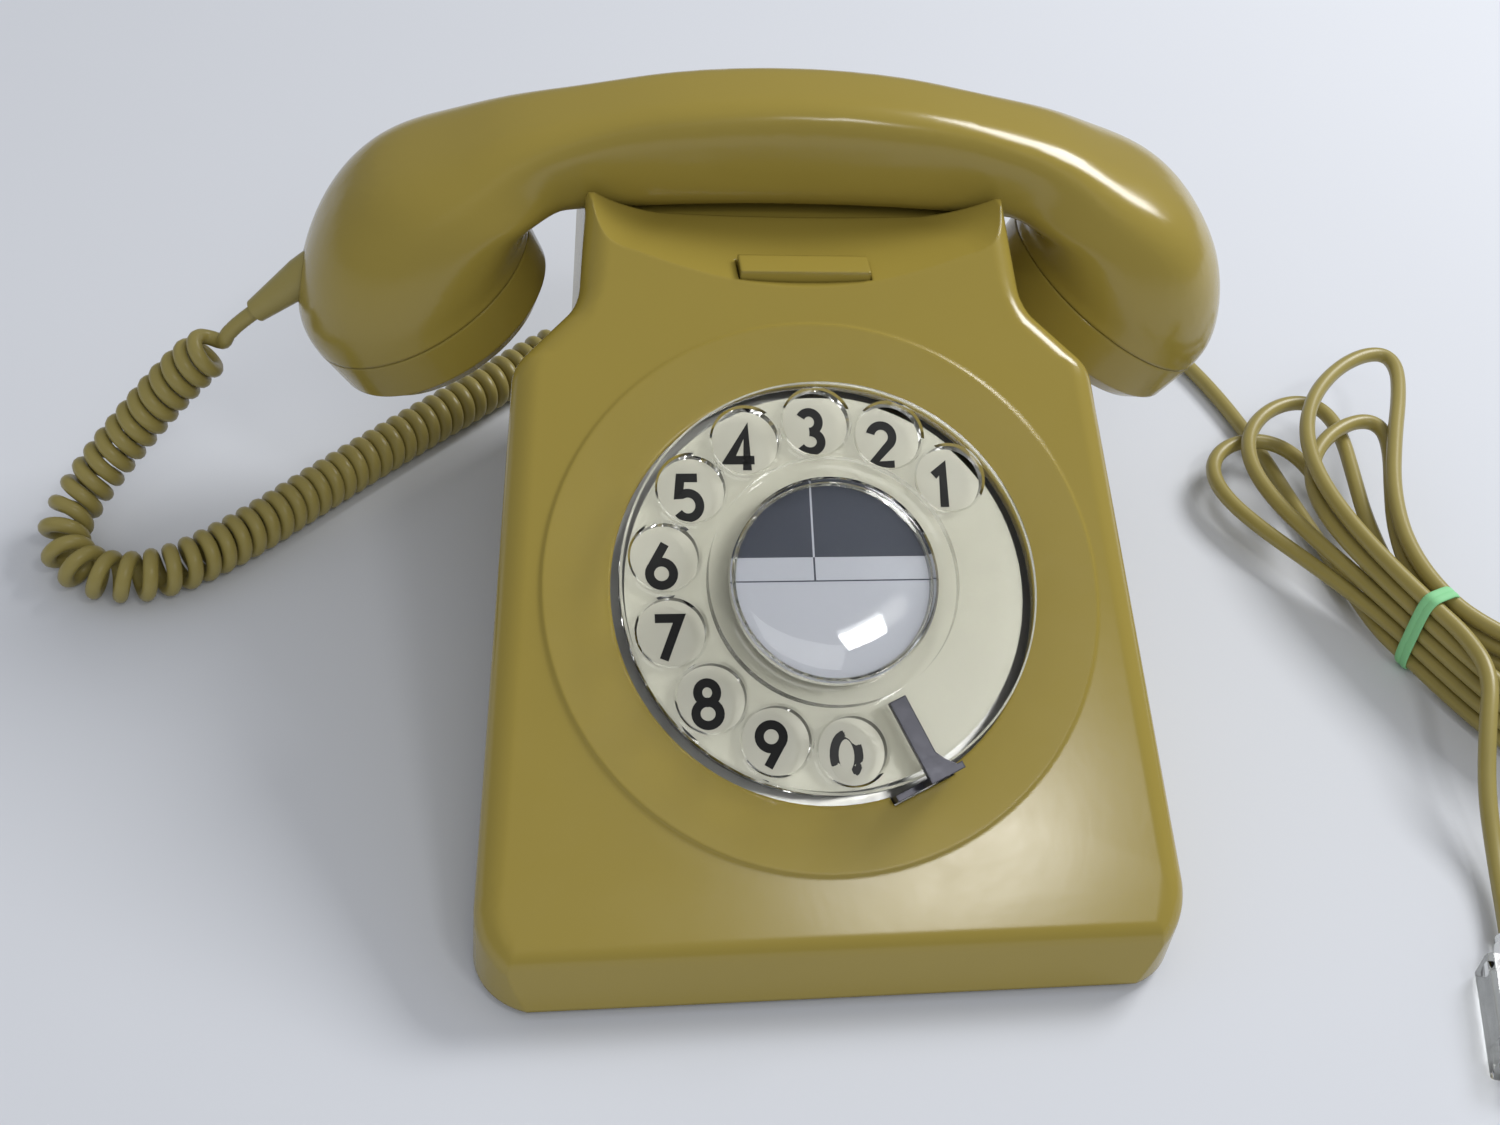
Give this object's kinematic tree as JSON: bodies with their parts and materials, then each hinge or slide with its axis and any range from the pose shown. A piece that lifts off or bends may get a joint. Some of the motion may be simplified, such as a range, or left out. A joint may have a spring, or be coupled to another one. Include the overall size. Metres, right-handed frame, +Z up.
{
  "type": "rotary telephone",
  "caption": "Table telephone with a wedge-shaped case, a clear finger dial, a handset on a rear cradle, a curly handset cord and a line cord tied in a hank.",
  "frame": {"origin": "on the table under the middle of the telephone, cords left out", "axes": "+X to the right along the handset, +Y to the back, +Z up"},
  "size_m": [0.3985, 0.2868, 0.1205],
  "materials": {
    "ochre_plastic": "glossy moulded",
    "ochre_cord": "satin PVC",
    "clear_acrylic": "clear polished",
    "ivory_plate": "satin enamel",
    "printed_card": "printed card",
    "dark_metal": "dark satin",
    "zinc_steel": "zinc plated",
    "brass": "machined",
    "gong_metal": "plated",
    "copper_winding": "enamelled wire",
    "board": "resin board",
    "black_plastic": "moulded",
    "can_aluminium": "drawn can",
    "foot_rubber": "moulded",
    "green_band": "flat band"
  },
  "bodies": {
    "phone": {"case_shell": "ochre_plastic", "curly_cord": "ochre_cord", "line_cord": "ochre_cord", "line_cord_hank": "ochre_cord", "line_cord_tail": "ochre_cord", "handset_cord_bush": "ochre_cord", "line_cord_bush": "ochre_cord", "line_plug": "clear_acrylic", "number_plate": "ivory_plate", "finger_stop": "dark_metal", "base_plate": "zinc_steel", "case_screws": "zinc_steel", "dial_screws": "zinc_steel", "dial_frame": "zinc_steel", "dial_back_plate": "zinc_steel", "dial_pillars": "zinc_steel", "switch_bracket": "zinc_steel", "lever_pin": "zinc_steel", "bell_yoke": "zinc_steel", "gong_screws": "zinc_steel", "terminal_screws": "zinc_steel", "mainspring_drum": "zinc_steel", "governor_cup": "brass", "plug_contacts": "brass", "hook_contacts": "brass", "bar_contacts": "brass", "bell_gong_left": "gong_metal", "bell_gong_right": "gong_metal", "bell_coils": "copper_winding", "induction_coil": "copper_winding", "circuit_board": "board", "terminal_block": "black_plastic", "capacitor": "can_aluminium", "rubber_feet": "foot_rubber", "hank_band": "green_band"},
    "dial": {"finger_plate": "clear_acrylic", "dial_label": "printed_card", "label_cover": "clear_acrylic", "dial_spindle": "zinc_steel", "main_gear": "brass"},
    "pulse_wheel": {"pulse_gear": "brass"},
    "governor_spin": {"governor": "brass"},
    "handset": {"handset_body": "ochre_plastic", "ear_cap": "ochre_plastic", "mouth_cap": "ochre_plastic", "receiver_capsule": "black_plastic", "transmitter_capsule": "black_plastic", "handset_boot": "ochre_cord"},
    "plunger": {"hook_plunger": "black_plastic"},
    "switch_lever": {"hook_lever": "black_plastic"},
    "bar": {"press_bar": "ochre_plastic"},
    "clapper": {"bell_armature": "zinc_steel"}
  },
  "joints": [
    {"name": "dial_turn", "type": "hinge", "parent": "phone", "child": "dial", "pos_m": [0, -0.0323, 0.056], "axis": [0, -0.5373, 0.8434], "range_deg": [-320, 0], "stiffness_Nm_per_rad": 0.01, "springref_deg": 34.38},
    {"name": "pulse_turn", "type": "hinge", "parent": "phone", "child": "pulse_wheel", "pos_m": [0.0321, -0.0323, 0.056], "axis": [0, -0.5373, 0.8434], "range_deg": [0, 960]},
    {"name": "governor_turn", "type": "hinge", "parent": "phone", "child": "governor_spin", "pos_m": [0.02632, -0.04569, 0.04747], "axis": [0, -0.5373, 0.8434], "range_deg": [-2880, 0]},
    {"name": "handset_lift", "type": "slide", "parent": "phone", "child": "handset", "axis": [0, 0, 1], "range_m": [0, 0.1], "deforming": ["curly_cord"]},
    {"name": "plunger_rise", "type": "slide", "parent": "phone", "child": "plunger", "axis": [0, 0, 1], "range_m": [0, 0.006]},
    {"name": "lever_rise", "type": "hinge", "parent": "phone", "child": "switch_lever", "pos_m": [0, 0.036, 0.0737], "axis": [1, 0, 0], "range_deg": [0, 11], "stiffness_Nm_per_rad": 0.0001, "springref_deg": 48.13},
    {"name": "bar_press", "type": "slide", "parent": "phone", "child": "bar", "axis": [0, 0, 1], "range_m": [-0.002, 0], "stiffness_N_per_m": 400, "springref_m": 0.003},
    {"name": "clapper_swing", "type": "hinge", "parent": "phone", "child": "clapper", "pos_m": [0, 0.04, 0.03], "axis": [0, 0, 1], "range_deg": [-2.8, 2.8]}
  ],
  "couplings": [
    {"joint": "pulse_turn", "follows": "dial_turn", "ratio": -3},
    {"joint": "governor_turn", "follows": "dial_turn", "ratio": 9},
    {"joint": "plunger_rise", "follows": "handset_lift", "ratio": 0.06},
    {"joint": "lever_rise", "follows": "handset_lift", "rad_per_m": 1.9}
  ]
}
